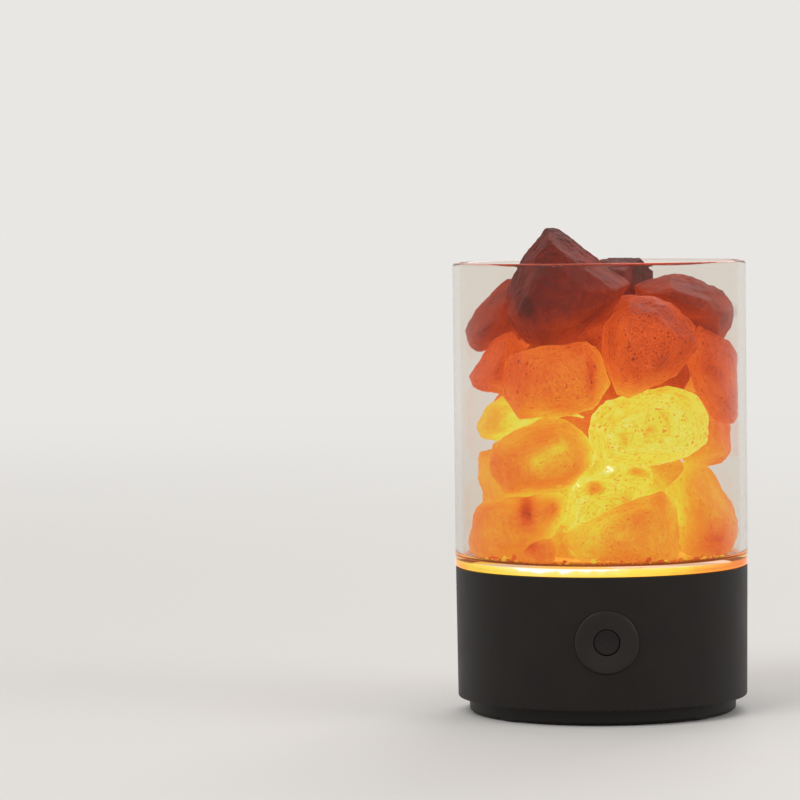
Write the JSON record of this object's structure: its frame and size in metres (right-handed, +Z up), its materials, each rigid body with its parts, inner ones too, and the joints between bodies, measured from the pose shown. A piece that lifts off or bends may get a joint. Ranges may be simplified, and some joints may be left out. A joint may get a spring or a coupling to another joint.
{
  "type": "salt crystal lamp",
  "caption": "Small desk lamp: a clear glass cup of loose pink salt stones on a round black base that lights them from below, with a push button on the front.",
  "frame": {"origin": "middle of the underside, on the table that the rubber feet stand on", "axes": "+Z up, -Y towards the front with the power button, +Y towards the power inlet, +X to the right seen from the front"},
  "size_m": [0.08, 0.0802, 0.1326],
  "materials": {
    "clear_glass": "polished",
    "clear_sealant": "satin",
    "black_abs": "satin",
    "bezel_abs": "satin",
    "button_abs": "satin",
    "black_rubber": "matte",
    "screw_steel": "satin",
    "frosted_acrylic": "satin",
    "white_plastic": "satin",
    "board_white": "satin",
    "led_package": "gloss",
    "board_green": "satin",
    "component_black": "satin",
    "connector_white": "satin",
    "lead_red": "satin",
    "lead_black": "satin",
    "socket_black": "satin",
    "contact_brass": "satin",
    "switch_black": "satin",
    "plunger_plastic": "satin",
    "salt": "satin"
  },
  "bodies": {
    "lamp": {"glass_cup": "clear_glass", "cup_bond": "clear_sealant", "base_shell": "black_abs", "bottom_cover": "black_abs", "rubber_feet": "black_rubber", "cover_screws": "screw_steel", "light_window": "frosted_acrylic", "reflector": "white_plastic", "led_board": "board_white", "leds": "led_package", "led_screws": "screw_steel", "control_board": "board_green", "board_screws": "screw_steel", "board_components": "component_black", "wire_connectors": "connector_white", "led_leads": "lead_red", "switch_leads": "lead_black", "power_inlet": "socket_black", "inlet_pin": "contact_brass", "button_bezel": "bezel_abs", "tact_switch": "switch_black", "switch_board": "board_green", "salt_crumbs": "salt", "stone_upper_left": "salt", "stone_upper_centre": "salt", "stone_middle_left": "salt", "stone_wedge": "salt", "stone_bottom_right": "salt", "stone_bottom_left": "salt", "stone_chip": "salt", "stone_glowing": "salt", "stone_slab": "salt", "stone_lobe": "salt", "stone_upper_right": "salt", "stone_left_glow": "salt", "stone_left_low": "salt", "stone_right_rear": "salt", "stone_rear_floor_left": "salt", "stone_rear_floor_right": "salt", "stone_rear_middle_left": "salt", "stone_rear_middle_right": "salt", "stone_rear_upper_left": "salt", "stone_rear_upper_right": "salt"},
    "power_button": {"push_button": "button_abs", "tact_plunger": "plunger_plastic"},
    "crown_stone": {"stone_crown": "salt"},
    "top_left_stone": {"stone_top_left": "salt"},
    "top_right_stone": {"stone_top_right": "salt"},
    "top_rear_stone": {"stone_top_rear": "salt"}
  },
  "joints": [
    {"name": "button_press", "type": "slide", "parent": "lamp", "child": "power_button", "axis": [0, 1, 0], "range_m": [0, 0.0005], "stiffness_N_per_m": 2000, "springref_m": -0.0003},
    {"name": "lift_crown", "type": "slide", "parent": "lamp", "child": "crown_stone", "axis": [0, 0, 1], "range_m": [0, 0.04]},
    {"name": "lift_top_left", "type": "slide", "parent": "lamp", "child": "top_left_stone", "axis": [0, 0, 1], "range_m": [0, 0.04]},
    {"name": "lift_top_right", "type": "slide", "parent": "lamp", "child": "top_right_stone", "axis": [0, 0, 1], "range_m": [0, 0.04]},
    {"name": "lift_top_rear", "type": "slide", "parent": "lamp", "child": "top_rear_stone", "axis": [0, 0, 1], "range_m": [0, 0.04]}
  ]
}
